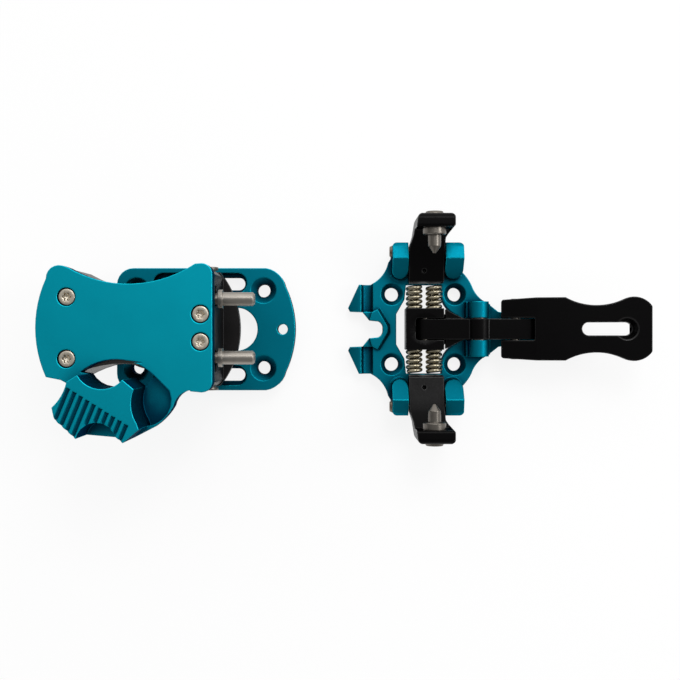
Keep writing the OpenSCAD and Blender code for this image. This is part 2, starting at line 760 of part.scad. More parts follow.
// Rocker seen from the side: round tail, hub and the strip that carries the lever
module rocker_arm() {
    strip_x = hinge_x + strip_over - tail_r;
    shoulder_x0 = block_x1 + 0.8;
    shoulder_y = block_w / 2 - 0.3;
    shoulder_x1 = rocker_x - knuckle_r - 0.8;
    shoulder = arc3([shoulder_x0, shoulder_y], [shoulder_x0 + 3, rocker_w / 2 + 2.4],
        [shoulder_x1, rocker_w / 2], 6);
    color(black)
    difference() {
        union() {
            rod_y(2 * tail_r, -rocker_w / 2, rocker_w / 2, 0, tail_z);
            side_slab([[0, tail_z - tail_r], [rocker_x, rocker_z - tail_r], [rocker_x, rocker_z + tail_r],
                [0, tail_z + tail_r]], -rocker_w / 2, rocker_w / 2);
            rod_y(2 * knuckle_r, -rocker_w / 2, rocker_w / 2, rocker_x, rocker_z);
            side_slab([[rocker_x, rocker_z - tail_r], [strip_x, rocker_z - tail_r],
                [strip_x, rocker_z + tail_r], [rocker_x, rocker_z + tail_r]], -rocker_w / 2, rocker_w / 2);
            rod_y(2 * tail_r, -rocker_w / 2, rocker_w / 2, strip_x, rocker_z);
            slab(concat(shoulder, flip(shoulder)), tail_z - 1, tail_z + tail_r - 0.4);
        }
        rod_y(rocker_pin_d + 2 * run_fit, -rocker_w, rocker_w, rocker_x, rocker_z);
        rod_y(block_pin_d + 2 * slip, -rocker_w, rocker_w, 0, tail_z);
        rod_y(lever_pin_d + 2 * press_fit, -rocker_w, rocker_w, hinge_x, rocker_z);
    }
}

// Half outline of the lever from its hinge end to its front edge
function lever_half() = concat(
    [[-lever_rear, 0]],
    corner([-lever_rear, lever_w / 2 - lever_taper], [0, 1], [1, 0], 1.2),
    [[strip_over, lever_w / 2]],
    arc3([lever_l - 34.7, lever_w / 2], [lever_l - 21, lever_waist / 2], lobe_start, 12),
    arc3(lobe_start, [lever_l - 6, lever_w / 2], lobe_end, 10),
    [[lever_l, 0]]);

module lever_handle() {
    slot_x1 = lever_l - lever_slot_in;
    slot_x0 = slot_x1 - lever_slot_l;
    fork_x = strip_over + slip;
    fork_lip = 1.4;
    color(black)
    translate([hinge_x, 0, rocker_z])
    rotate([0, -lever_tilt, 0])
    difference() {
        intersection() {
            slab(concat(lever_half(), flip(lever_half())), -lever_low, lever_high);
            side_slab([[-lever_rear, -lever_low], [lever_l, -lever_low], [lever_l, lever_high - 1.6],
                [lever_l - 34, lever_high], [strip_over + slip, lever_high],
                [-lever_rear, lever_high - 1.6]], -lever_w, lever_w);
        }
        // Fork for the rocker's strip, deep enough for its tilt, with a lip over the strip's end
        side_slab([[-lever_rear - eps, -lever_low - eps], [fork_x, -lever_low - eps], [fork_x, 0],
            [fork_x - fork_lip, lever_high + eps], [-lever_rear - eps, lever_high + eps]],
            -rocker_w / 2 - slip, rocker_w / 2 + slip);
        rod_y(lever_pin_d + 2 * run_fit, -lever_w, lever_w, 0, 0);
        slot(slot_x0, slot_x1, 0, lever_slot_w, -lever_low - eps, lever_high + eps);
        // Scooped front end of the slot
        translate([slot_x1 - lever_slot_w / 2 + 0.6, 0, lever_high - scoop_depth])
        cylinder(d1 = lever_slot_w - 0.6, d2 = scoop_d, h = scoop_depth);
    }
}

module lever_pin() {
    color(steel)
    rod_y(lever_pin_d, -lever_w / 2 + 0.4, lever_w / 2 - 0.4, hinge_x, rocker_z);
}

// Half outline of the heel base, from its rear edge to its bowed front edge
base_shoulder = [base_front - 4.2, heel_base_w / 2 - 7.6];
function heel_half() = concat(
    [[base_rear, 0]],
    corner([base_rear, heel_base_w / 2], [0, 1], [1, 0], 7),
    arc3([base_front - 12.3, heel_base_w / 2], [base_front - 7.1, heel_base_w / 2 - 2.5], base_shoulder, 6),
    arc3(base_shoulder, [base_front - 1.7, heel_base_w / 4 - 1.3], [base_front, 0], 8));

module heel_base() {
    undercut = track_w / 2 + flange_over + slip;
    rear_x = track_rear;
    color(deep_teal)
    difference() {
        slab(concat(heel_half(), flip(heel_half())), 0, heel_base_t);
        // Track with a round front end
        rod_z(track_w, -eps, heel_base_t + eps, track_end, 0);
        translate([rear_x, -track_w / 2, -eps])
        cube([track_end - rear_x, track_w, heel_base_t + 2 * eps]);
        translate([rear_x, -undercut, -eps])
        cube([track_end + track_w / 2 - rear_x, 2 * undercut, flange_t + slider_lift + slip + eps]);
        for (x = [heel_x - heel_hx, heel_x + heel_hx])
            for (y = [-heel_hy, heel_hy])
                sunk_hole(x, y, heel_base_t, heel_hole_d, heel_sink_d);
        for (y = [-1, 1]) {
            slot(heel_x - side_slot_l / 2, heel_x + side_slot_l / 2, y * side_slot_y, side_slot_w,
                slot_floor, heel_base_t + eps);
            slot(through_x0, heel_x + side_slot_l / 2 - through_end, y * side_slot_y, side_through_w,
                -eps, heel_base_t);
        }
        rod_z(front_hole_d, -eps, heel_base_t + eps, base_front - front_hole_in, 0);
        rod_x(length_screw_d + 2 * run_fit, base_rear - eps, rear_x + eps, 0, screw_z);
        rod_x(screw_head_d + 2 * slip, base_rear - eps, base_rear + screw_head_t + 0.2, 0, screw_z);
    }
}

// Length screw: its head sits in the base's rear wall
module length_screw() {
    color(steel)
    difference() {
        union() {
            rod_x(length_screw_d, base_rear + screw_head_t, slider_front + screw_tip, 0, screw_z);
            rod_x(screw_head_d, base_rear, base_rear + screw_head_t, 0, screw_z);
        }
        translate([base_rear - eps, 0, screw_z])
        rotate([0, 90, 0])
        cylinder(d = screw_hex, h = 1.6 + eps, $fn = 6);
    }
}

// Slider: a flange under the track, a neck in it and a disc above it
module heel_slider() {
    neck = track_w - 2 * slip;
    rear_x = track_rear + slip;
    front_c = slider_front - neck / 2;
    color(graphite)
    difference() {
        union() {
            translate([rear_x, -neck / 2 - flange_over, slider_lift])
            cube([front_c - rear_x, neck + 2 * flange_over, flange_t]);
            translate([rear_x, -neck / 2, slider_lift])
            cube([front_c - rear_x, neck, disc_z0 - slider_lift]);
            rod_z(neck, slider_lift, disc_z0, front_c, 0);
            rod_z(disc_d, disc_z0, disc_z1, post_x, 0);
        }
        rod_x(length_screw_d + 2 * run_fit, rear_x - eps, slider_front + eps, 0, screw_z);
        rod_z(post_d - post_step + 2 * press_fit, disc_z0, disc_z1 + eps, post_x, 0);
    }
}

module heel_post() {
    color(steel)
    union() {
        rod_z(post_d - post_step, disc_z0, disc_z1, post_x, 0);
        rod_z(post_d, disc_z1, post_top - 1, post_x, 0);
        translate([post_x, 0, post_top - 1])
        cylinder(d1 = post_d, d2 = post_d - 2, h = 1);
    }
}

// Bow-tie outline of the tower, grown by g at its ends, with its waists at y = up and y = -low
rear_end = cover_rear_r - 4;
function tower_outline(g, up, low) = concat(
    arc3([-rear_end - g, -18.6], [-cover_rear_r - g, 0], [-rear_end - g, 18.6], 12),
    arc3([-rear_end - g, 18.6], [2 - rear_end - g, cover_half + g - 1.7],
        [6.2 - rear_end - g, cover_half + g - 0.9], 6),
    arc3([8.2 - rear_end, cover_half + g - 1.6], [0, up], [24.6, cover_half + g - 0.2], 14),
    corner([cover_front + g, cover_half + g], [1, 0], [0, -1], 4),
    corner([cover_front + g, -cover_half - g], [0, -1], [-1, 0], 4),
    arc3([23, -cover_half - g + 0.4], [-1.3, -low], [-26, -19.7], 14));

// Flat skin in front of the housing
module front_skin_slab(z0, z1) {
    y = cover_half - 3;
    slab([[wall_out - front_skin, -y], [wall_out, -y], [wall_out, y], [wall_out - front_skin, y]], z0, z1);
}

// Plate at the tower's foot: its front edge is an arc round the post, and a skin stands on it
module foot_plate() {
    front_r = 37.5;
    color(black)
    translate([post_x, 0, 0])
    difference() {
        union() {
            slab(tower_outline(-1.2, cover_waist - 0.6, 13.8), tower_z, house_z);
            intersection() {
                rod_z(2 * front_r, tower_z, house_z, 0, 0);
                translate([24, -cover_half + 0.7, tower_z])
                cube([front_r, 2 * cover_half - 1.4, foot_t]);
            }
            front_skin_slab(house_z - 0.01, cover_z);
        }
        rod_z(post_d + 2 * run_fit, tower_z - eps, house_z + eps, 0, 0);
        pin_slots();
        rod_y(cross_d + 2 * press_fit, -cover_half - eps, cover_half + eps, cross_x, cross_z);
    }
}

// Slots in the front wall for the pins and their spread
module pin_slots() {
    both_sides()
        translate([wall_out - wall_t - eps, arm_y - heel_shank_d / 2 - 0.5, pin_slot_z])
        cube([wall_t + 2 * eps, heel_shank_d + arm_spread + 1.4, heel_shank_d + 2 * slip]);
}

// Room in the housing for one pin arm
function arm_room() = [[tail_x - 1.2, 0], [tail_x - 1.2, tail_y + tail_half + 0.5],
    [arm_pivot_x - 6.5, tail_y + tail_half + 0.5], [arm_pivot_x - 0.5, arm_y + arm_half + 0.6],
    [wall_out - wall_t, arm_y + arm_half + arm_spread + 0.6], [wall_out - wall_t, arm_y - arm_half - 0.6],
    [arm_pivot_x + 1, arm_y - arm_half - 0.6], [arm_pivot_x - 3.5, tail_y - tail_half - 1.8],
    [arm_pivot_x - 5.5, 0]];

module tower_housing() {
    color(graphite)
    translate([post_x, 0, 0])
    difference() {
        slab(tower_outline(-0.7, cover_waist - 0.4, 13.8), house_z, cover_z);
        rod_z(post_d + 2 * run_fit, house_z - eps, post_top + 0.4, 0, 0);
        both_sides() {
            slab(arm_room(), room_z, cover_z + eps);
            rod_z(arm_pivot_d + 2 * press_fit, room_z - 5, room_z + eps, arm_pivot_x, arm_y);
            rod_z(screw_shank_d + 2 * press_fit, cover_z - 8, cover_z + eps, front_screw[0], front_screw[1]);
            rod_z(screw_shank_d + 2 * press_fit, cover_z - 8, cover_z + eps, rear_screw[0], rear_screw[1]);
        }
        pin_slots();
        front_skin_slab(house_z - eps, cover_z + eps);
        rod_x(bore_d, -cover_rear_r - eps, tail_x, 0, heel_pin_z);
        rod_x(bore_d, -cover_rear_r - eps, -post_d / 2 + eps, 0, turn_z);
        rod_y(cross_d + 2 * press_fit, -cover_half - eps, cover_half + eps, cross_x, cross_z);
    }
}

// Outline of the climbing step's top
function step_outline() = concat(
    [step_a1], arc3(step_a2, scallop_top, step_b1), arc3(step_b2, scallop_right, step_c1), [step_c2],
    [step_tip], arc3(step_tip + [-2.6, 2.2], scallop_low, step_d1), [step_d2],
    arc3(step_d3, scallop_left, step_a1, 6));
// Outline of the cover's lobe that carries the step
function lobe_outline() = concat(
    [[-20, -12], [-26, -19.7]], arc3([-24, -20.8], [-22.3, -24.6], step_d3, 6),
    [step_d2, step_d1, step_tip], arc3(lobe_low, lobe_out, lobe_neck, 5),
    arc3(lobe_neck, lobe_fillet, [23, -cover_half + 0.9], 6), [[18, -14]]);
function step_gap() = concat(arc3(gap_left, gap_mid, gap_right, 12),
    [step_b2], arc3(step_b1, scallop_top, step_a2, 8));
function step_basin() = concat([gap_right],
    arc3([15, -23.8], [15.2, -30.4], step_c2, 6), arc3(step_c1, scallop_right, step_b2, 8));

// Cover and climbing step, machined from one piece
module top_cover() {
    groove_dir = [-0.38, -0.92];
    groove_start = step_a1 + [0.6, -2.2];
    groove_step = groove_pitch * [0.846, -0.533];
    color(teal)
    translate([post_x, 0, 0])
    difference() {
        union() {
            difference() {
                union() {
                    slab(tower_outline(0, cover_waist, 12.3), cover_z, cover_top);
                    slab(lobe_outline(), cover_z, cover_top);
                }
                slab(step_basin(), cover_z + basin_floor, cover_top + eps);
            }
            slab(step_outline(), cover_z, step_top);
        }
        slab(step_gap(), cover_z - eps, step_top + eps);
        for (i = [0 : groove_count - 1]) {
            p = groove_start + i * groove_step;
            translate([p[0], p[1], step_top - groove_depth])
            rotate([0, 0, angle(groove_dir)])
            rotate([45, 0, 0])
            cube([30, 2 * groove_depth, 2 * groove_depth]);
        }
        for (s = [-1, 1])
            for (p = [front_screw, rear_screw]) {
                rod_z(screw_shank_d + 2 * slip, cover_z - eps, cover_top, p[0], s * p[1]);
                rod_z(cover_screw_d + 2 * slip, cover_top - 3.4, cover_top + eps, p[0], s * p[1]);
            }
    }
}

// Cover screw with a hexagon socket, its head just under the cover's top
module cover_screw(x, y) {
    head_z = cover_top - 3.4;
    color(steel)
    translate([post_x, 0, 0])
    difference() {
        union() {
            rod_z(cover_screw_d, head_z, cover_top - 0.3, x, y);
            rod_z(screw_shank_d, cover_z - 7.5, head_z, x, y);
        }
        translate([x, y, cover_top - 2])
        cylinder(d = 2.9, h = 2, $fn = 6);
    }
}
module front_left_cover_screw() { cover_screw(front_screw[0], front_screw[1]); }
module front_right_cover_screw() { cover_screw(front_screw[0], -front_screw[1]); }
module rear_left_cover_screw() { cover_screw(rear_screw[0], rear_screw[1]); }
module rear_right_cover_screw() { cover_screw(rear_screw[0], -rear_screw[1]); }

// Bolt across the tower's front, with a low head at each end
module cross_bolt() {
    head_y = cover_half - 0.7;
    color(steel)
    translate([post_x, 0, 0]) {
        rod_y(cross_d, -head_y, head_y, cross_x, cross_z);
        both_sides()
            rod_y(cross_d + 2, head_y, head_y + 1.2, cross_x, cross_z);
    }
}

// Arm that carries one heel pin and turns on an upright pivot
module pin_arm(side) {
    top = cover_z - slip;
    color(graphite)
    translate([post_x, 0, 0])
    mirror([0, side > 0 ? 0 : 1, 0])
    difference() {
        slab([[tail_x, tail_y - tail_half], [arm_pivot_x - 5, tail_y - tail_half],
            [arm_pivot_x, arm_y - arm_half], [wall_out - wall_t - 1, arm_y - arm_half],
            [wall_out - wall_t - 1, arm_y + arm_half], [arm_pivot_x, arm_y + arm_half],
            [arm_pivot_x - 6, tail_y + tail_half], [tail_x, tail_y + tail_half]], room_z + slip, top);
        rod_z(arm_pivot_d + 2 * run_fit, room_z - eps, top + eps, arm_pivot_x, arm_y);
        rod_x(heel_shank_d + 2 * press_fit, arm_pivot_x + 3, wall_out, arm_y, heel_pin_z);
    }
}
module left_pin_arm() { pin_arm(1); }
module right_pin_arm() { pin_arm(-1); }

// Heel pin: shank in the arm, flange in front of the wall, body and chamfered end
module heel_pin(side) {
    shank = flange_x - arm_pivot_x - 3;
    color(steel)
    translate([post_x + arm_pivot_x + 3, side * arm_y, heel_pin_z])
    rotate([0, 90, 0])
    rotate_extrude()
    polygon([[0, 0], [heel_shank_d / 2, 0], [heel_shank_d / 2, shank], [heel_flange_d / 2, shank],
        [heel_flange_d / 2, shank + heel_flange_t], [heel_pin_d / 2, shank + heel_flange_t],
        [heel_pin_d / 2, shank + heel_flange_t + heel_pin_l - 0.8],
        [heel_pin_d / 2 - 0.8, shank + heel_flange_t + heel_pin_l],
        [0, shank + heel_flange_t + heel_pin_l]]);
}
module left_heel_pin() { heel_pin(1); }
module right_heel_pin() { heel_pin(-1); }

module arm_pivot(side) {
    color(steel)
    rod_z(arm_pivot_d, room_z - 5, cover_z, post_x + arm_pivot_x, side * arm_y);
}
module left_arm_pivot() { arm_pivot(1); }
module right_arm_pivot() { arm_pivot(-1); }

// Cone that the spring drives between the arms' tails
module release_wedge() {
    color(steel)
    translate([post_x + tail_x - wedge_disc, 0, heel_pin_z])
    rotate([0, 90, 0])
    rotate_extrude()
    polygon([[0, 0], [wedge_r, 0], [wedge_r, wedge_disc], [wedge_tip, wedge_disc + wedge_l],
        [0, wedge_disc + wedge_l]]);
}

// Threaded plug with a hexagon socket that loads a release spring
module adjuster(z) {
    color(graphite)
    translate([post_x - cover_rear_r + 1.2, 0, z])
    rotate([0, 90, 0])
    difference() {
        cylinder(d = bore_d - 2 * run_fit, h = adjuster_l);
        translate([0, 0, -eps])
        cylinder(d = 6, h = 3 + eps, $fn = 6);
    }
}
adjuster_end = post_x - cover_rear_r + 1.2 + adjuster_l;
module release_spring() {
    x0 = adjuster_end + 0.1;
    color(spring_steel)
    translate([x0, 0, heel_pin_z])
    rotate([0, 90, 0])
    coil(release_od, release_wire, release_gap, post_x + tail_x - wedge_disc - 0.1 - x0);
}
module release_adjuster() { adjuster(heel_pin_z); }

// Plunger that the turning spring presses on the post
plunger_x0 = post_x - post_d / 2 - slip - 6;
module turn_plunger() {
    color(steel)
    rod_x(bore_d - 2 * run_fit - 0.4, plunger_x0, plunger_x0 + 6, 0, turn_z);
}
module turn_spring() {
    x0 = adjuster_end + 0.1;
    color(spring_steel)
    translate([x0, 0, turn_z])
    rotate([0, 90, 0])
    coil(release_od, release_wire, release_gap, plunger_x0 - 0.1 - x0);
}
module turn_adjuster() { adjuster(turn_z); }

toe_base();
left_wing_axle();
right_wing_axle();
rocker_pin();
left_wing();
left_toe_pin();
left_toe_pin_nut();
right_wing();
right_toe_pin();
right_toe_pin_nut();
spring_block();
block_pin();
left_front_spring();
left_rear_spring();
right_front_spring();
right_rear_spring();
rocker_arm();
lever_handle();
lever_pin();
heel_base();
length_screw();
heel_slider();
heel_post();
foot_plate();
tower_housing();
top_cover();
front_left_cover_screw();
front_right_cover_screw();
rear_left_cover_screw();
rear_right_cover_screw();
cross_bolt();
left_pin_arm();
left_heel_pin();
left_arm_pivot();
right_pin_arm();
right_heel_pin();
right_arm_pivot();
release_wedge();
release_spring();
release_adjuster();
turn_plunger();
turn_spring();
turn_adjuster();
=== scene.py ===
# %% [markdown]
# # A touring binding, dressed for a studio picture
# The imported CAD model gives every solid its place. This lesson adds what the
# solids lack: broken edges, anodised and turned finishes, springs wound from
# round wire, screws with a six-lobed recess, and a small white studio.
# Every cell does one step and prints what it made.

import bpy
import numpy as np
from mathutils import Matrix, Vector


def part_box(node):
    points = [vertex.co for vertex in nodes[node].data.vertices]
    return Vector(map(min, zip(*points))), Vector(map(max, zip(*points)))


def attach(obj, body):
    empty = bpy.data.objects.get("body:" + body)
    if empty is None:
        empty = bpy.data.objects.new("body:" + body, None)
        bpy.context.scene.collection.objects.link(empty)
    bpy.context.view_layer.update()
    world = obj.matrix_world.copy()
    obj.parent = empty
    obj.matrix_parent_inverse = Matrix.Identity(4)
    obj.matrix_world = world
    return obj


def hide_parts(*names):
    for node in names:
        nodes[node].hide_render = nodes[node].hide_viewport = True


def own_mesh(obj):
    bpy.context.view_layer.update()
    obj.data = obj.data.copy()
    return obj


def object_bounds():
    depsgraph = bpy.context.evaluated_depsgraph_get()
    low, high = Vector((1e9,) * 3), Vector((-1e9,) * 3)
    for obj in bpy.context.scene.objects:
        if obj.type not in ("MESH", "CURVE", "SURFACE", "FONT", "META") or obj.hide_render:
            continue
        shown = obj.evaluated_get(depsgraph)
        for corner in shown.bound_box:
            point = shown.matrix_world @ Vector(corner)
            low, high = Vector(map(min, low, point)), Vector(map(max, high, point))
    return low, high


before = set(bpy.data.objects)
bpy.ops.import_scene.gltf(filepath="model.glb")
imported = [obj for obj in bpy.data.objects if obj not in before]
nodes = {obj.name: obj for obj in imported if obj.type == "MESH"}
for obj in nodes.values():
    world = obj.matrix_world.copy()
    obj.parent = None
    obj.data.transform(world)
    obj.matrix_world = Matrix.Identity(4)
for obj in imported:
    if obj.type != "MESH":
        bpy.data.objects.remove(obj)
cad_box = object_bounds()
MM = 0.001

# %% [markdown]
# ## Colours and shader nodes
# Colours are written as the eye names them, in sRGB hex, but a shader works
# with linear light. One function converts them. Another adds a shader node,
# sets its values and links its inputs, so that each finish below reads like a
# recipe instead of a page of wiring.

# %% Colour and node helpers
def linear(code):
    """sRGB hex to linear RGBA: below 0.04045 a straight line, above it a power of 2.4."""
    s = np.array([int(code[i:i + 2], 16) for i in (1, 3, 5)]) / 255
    rgb = np.where(s <= 0.04045, s / 12.92, ((s + 0.055) / 1.055) ** 2.4)
    return (*rgb.tolist(), 1.0)


def add_node(owner, kind, settings=None, **inputs):
    """Adds a shader node to a material or a world, with its settings.

    An input is a value or a socket to link. Its key is the socket's name with _ for a space,
    or the socket's number after one _.
    """
    tree = owner.node_tree
    node = tree.nodes.new("ShaderNode" + kind)
    for key, value in (settings or {}).items():
        setattr(node, key, value)
    for key, value in inputs.items():
        socket = node.inputs[int(key[1:]) if key[1:].isdigit() else key.replace("_", " ")]
        if isinstance(value, bpy.types.NodeSocket):
            tree.links.new(value, socket)
        else:
            socket.default_value = value
    return node


def new_material(name):
    """An empty material, ready for its nodes."""
    material = bpy.data.materials.new(name)
    material.use_nodes = True
    material.node_tree.nodes.clear()
    return material


print("the cover's teal in linear light:", [round(c, 3) for c in linear("#0793A8")])

# %% [markdown]
# ## Grain and milling lines
# The plates, the cover and the climbing step are milled from aluminium and
# blasted with fine beads. Blasting leaves a grain of about 0.1 mm, and the
# cutter leaves lines of a few tenths along the upright walls. Both are too fine
# for this picture, so the grain is drawn at 0.5 mm and the lines at 1.4 mm.
# Modelled as geometry they would take millions of faces, so they are a height
# for a Bump node.

# %% Grain and milling lines
GRAIN_MM = 0.5
MILLING_MM = 1.4
LINE_HEIGHT = 1.3
# The wave texture repeats 20 / (2 pi) times in a unit, so this scale gives one wave in a unit.
ONE_WAVE = 2 * np.pi / 20


def per_mm(size):
    """Scale of a texture whose features are to be this many millimetres wide."""
    return 1 / (size * MM)


def milled_surface(finish):
    """Height = grain + a sine of z on walls. Wall falls from 1 to 0 as |normal z| goes from 0.1 to 0.55."""
    place = add_node(finish, "TexCoord").outputs["Object"]
    grain = add_node(finish, "TexNoise", Vector=place, Scale=per_mm(GRAIN_MM), Detail=3.0,
                     Roughness=0.6).outputs["Fac"]
    lines = add_node(finish, "TexWave", {"bands_direction": "Z"}, Vector=place,
                     Scale=per_mm(MILLING_MM) * ONE_WAVE, Distortion=0.4, Detail=1.0).outputs["Fac"]
    normal = add_node(finish, "NewGeometry").outputs["Normal"]
    up = add_node(finish, "SeparateXYZ", Vector=normal).outputs["Z"]
    level = add_node(finish, "Math", {"operation": "ABSOLUTE"}, _0=up).outputs[0]
    wall = add_node(finish, "MapRange", Value=level, From_Min=0.1, From_Max=0.55,
                    To_Min=1.0, To_Max=0.0).outputs[0]
    drawn = add_node(finish, "Math", {"operation": "MULTIPLY"}, _0=lines, _1=wall).outputs[0]
    height = add_node(finish, "Math", {"operation": "MULTIPLY_ADD"},
                      _0=drawn, _1=LINE_HEIGHT, _2=grain).outputs[0]
    return place, grain, wall, height


print("grain", GRAIN_MM, "mm, milling lines", MILLING_MM, "mm")

# %% [markdown]
# ## Painted rim highlights and painted shade in hollows
# A milled edge is rounded a little, and a pale line is painted round every
# plate as a highlight. The Bevel modifier could round it, but it creases
# large faces with many holes, such as those of the cover and the base plates.
# For these the shader's Bevel node turns the normals near an edge, and the tone
# is painted paler where they turn. Holes, pockets and the grooves of the step are
# painted darker than open faces, as shade: metal there would mostly mirror itself. The Ambient
# Occlusion node finds them: it gives the share of open sky that a point sees.

# %% Rims and hollows
SHADER_SAMPLES = 8
# Each row: reach in mm, the sky seen where the painted shade is darkest and where it is open, and the share
# of painted shade there.
POCKET = (9, 0.5, 0.96, 0.95)
GROOVE = (2, 0.7, 0.97, 0.85)


def painted_rim_highlight(finish, tone, pale, round_mm):
    """Normals turned over round_mm, and a paler tone, a painted highlight, where turned x true normal falls
    from 0.97 to 0.78.
    """
    turned = add_node(finish, "Bevel", {"samples": SHADER_SAMPLES}, Radius=round_mm * MM).outputs[0]
    true = add_node(finish, "NewGeometry").outputs["True Normal"]
    along = add_node(finish, "VectorMath", {"operation": "DOT_PRODUCT"},
                     _0=turned, _1=true).outputs["Value"]
    rim_highlight = add_node(finish, "MapRange", Value=along, From_Min=0.78, From_Max=0.97,
                    To_Min=1.0, To_Max=0.0).outputs[0]
    tone = add_node(finish, "MixRGB", Fac=rim_highlight, Color1=tone, Color2=linear(pale)).outputs[0]
    return turned, tone


def painted_hollow_shade(finish):
    """Share of painted shade, from 0 to 1: the larger of its pocket share and its groove share."""
    shares = []
    for reach, dark_sky, open_sky, share in (POCKET, GROOVE):
        sky = add_node(finish, "AmbientOcclusion", {"samples": SHADER_SAMPLES, "only_local": True},
                       Distance=reach * MM).outputs["AO"]
        shares.append(add_node(finish, "MapRange", Value=sky, From_Min=dark_sky, From_Max=open_sky,
                               To_Min=share, To_Max=0.0).outputs[0])
    return add_node(finish, "Math", {"operation": "MAXIMUM"}, _0=shares[0], _1=shares[1]).outputs[0]


print("hollows are found within", POCKET[0], "and", GROOVE[0], "mm")

# %% [markdown]
# ## Anodised aluminium
# Anodising grows a film on the aluminium. A thin film is dyed in a bath, and
# the metal shines through: its reflections take the dye's colour. A hard film
# is thick and dark and hides the metal, so it is shaded as a coat over it. The
# dye never takes quite evenly, so the tone drifts in clouds of about 14 mm. One
# function makes all these finishes, because only colours and gloss differ.

# %% Anodised finishes
CLOUD_MM = 14
RELIEF_MM = 0.2


def anodised(name, colour, pale, painted_wall_shade, painted_hollow_tone, metallic, roughness, specular=0.5,
             grazing="#FFFFFF", bump=0.03, rim_highlight=None, round_mm=0.5):
    """Colour drifts to pale with noise, then mixes to painted shade on walls, a painted highlight on rims
    and painted shade in hollows.
    """
    finish = new_material(name)
    place, grain, wall, height = milled_surface(finish)
    cloud = add_node(finish, "TexNoise", Vector=place, Scale=per_mm(CLOUD_MM), Detail=4.0).outputs["Fac"]
    tone = add_node(finish, "MixRGB", Fac=cloud, Color1=linear(colour), Color2=linear(pale)).outputs[0]
    # Upright faces are mixed to a darker tone: painted shade.
    tone = add_node(finish, "MixRGB", Fac=wall, Color1=tone, Color2=linear(painted_wall_shade)).outputs[0]
    gloss = add_node(finish, "MapRange", Value=grain, From_Min=0.3, From_Max=0.7,
                     To_Min=roughness - 0.05, To_Max=roughness + 0.06).outputs[0]
    relief = add_node(finish, "Bump", Height=height, Strength=bump, Distance=RELIEF_MM * MM)
    # Rims: normals rounded over round_mm, and the tone mixed to a pale colour there, a painted highlight.
    if rim_highlight:
        turned, tone = painted_rim_highlight(finish, tone, rim_highlight, round_mm)
        finish.node_tree.links.new(turned, relief.inputs["Normal"])
    # Hollows are mixed to a darker tone: painted shade.
    tone = add_node(finish, "MixRGB", Fac=painted_hollow_shade(finish), Color1=tone,
                    Color2=linear(painted_hollow_tone)).outputs[0]
    shader = add_node(finish, "BsdfPrincipled", Base_Color=tone, Metallic=metallic, Roughness=gloss,
                      Normal=relief.outputs[0], Specular_IOR_Level=specular,
                      Specular_Tint=linear(grazing))
    add_node(finish, "OutputMaterial", Surface=shader.outputs[0])
    return finish


# Cover and step: a dyed metal, matt from blasting, with a painted highlight along its rims.
cover_teal = anodised("anodised_aluminium_teal", "#0793A8", "#089EB3", "#035068", "#023A55", 1.0, 0.46,
                      grazing="#0A5A74", rim_highlight="#1CC4D6", round_mm=0.6)
# Base plates: a deeper teal than the cover.
base_teal = anodised("anodised_aluminium_deep_teal", "#036A7E", "#047388", "#02445A", "#022C42",
                     1.0, 0.44, grazing="#0A5A74", rim_highlight="#1CC4D6", round_mm=0.7)
# Wings, block, rocker and lever: a dense black film with hardly any gloss.
hard_black = anodised("hard_anodised_aluminium_black", "#030203", "#050505", "#030203", "#020202",
                      0.0, 0.32, specular=0.055, bump=0.05)
# Foot plate: a thinner black film that shows a satin sheen.
satin_black = anodised("satin_anodised_aluminium_black", "#121112", "#181617", "#0C0B0C", "#080708",
                       0.0, 0.4, specular=0.2, bump=0.05)
# Broken edges of the black pieces: smoother, and painted paler than the face, a painted highlight.
black_edge_highlight = anodised("hard_anodised_aluminium_black_painted_edge_highlight", "#0C0B0C", "#121111", "#0C0B0C", "#060506",
                      0.0, 0.28, specular=0.25, bump=0.02)
# Housing, slider and pin arms: an undyed hard film, grey with some metal showing through.
grey_film = anodised("hard_anodised_aluminium_grey", "#57514C", "#645D57", "#4A4541", "#332F2C",
                     0.7, 0.46, bump=0.06)
# Broken edges of the grey pieces: smoother, and painted brighter, a painted highlight.
grey_edge_highlight = anodised("hard_anodised_aluminium_grey_painted_edge_highlight", "#6E6861", "#7A736B", "#6E6861", "#4A4541",
                     0.8, 0.34, bump=0.02)
print("anodised finishes:", [m.name for m in bpy.data.materials if "anodised" in m.name])

# %% [markdown]
# ## Turned steel, screw steel and spring wire
# The pins, axles and the post are turned on a lathe, so their faces carry fine
# rings round the axis. The rings are a wave along that axis. A turning feed of
# 0.1 mm would vanish here, so the wave is 1 mm long. Screws are a warmer,
# satin steel, and the springs are drawn wire with a thin straw-coloured film.

# %% Steel finishes
RING_MM = 1.0
SMEAR_MM = 3
RING_RELIEF_MM = 0.1


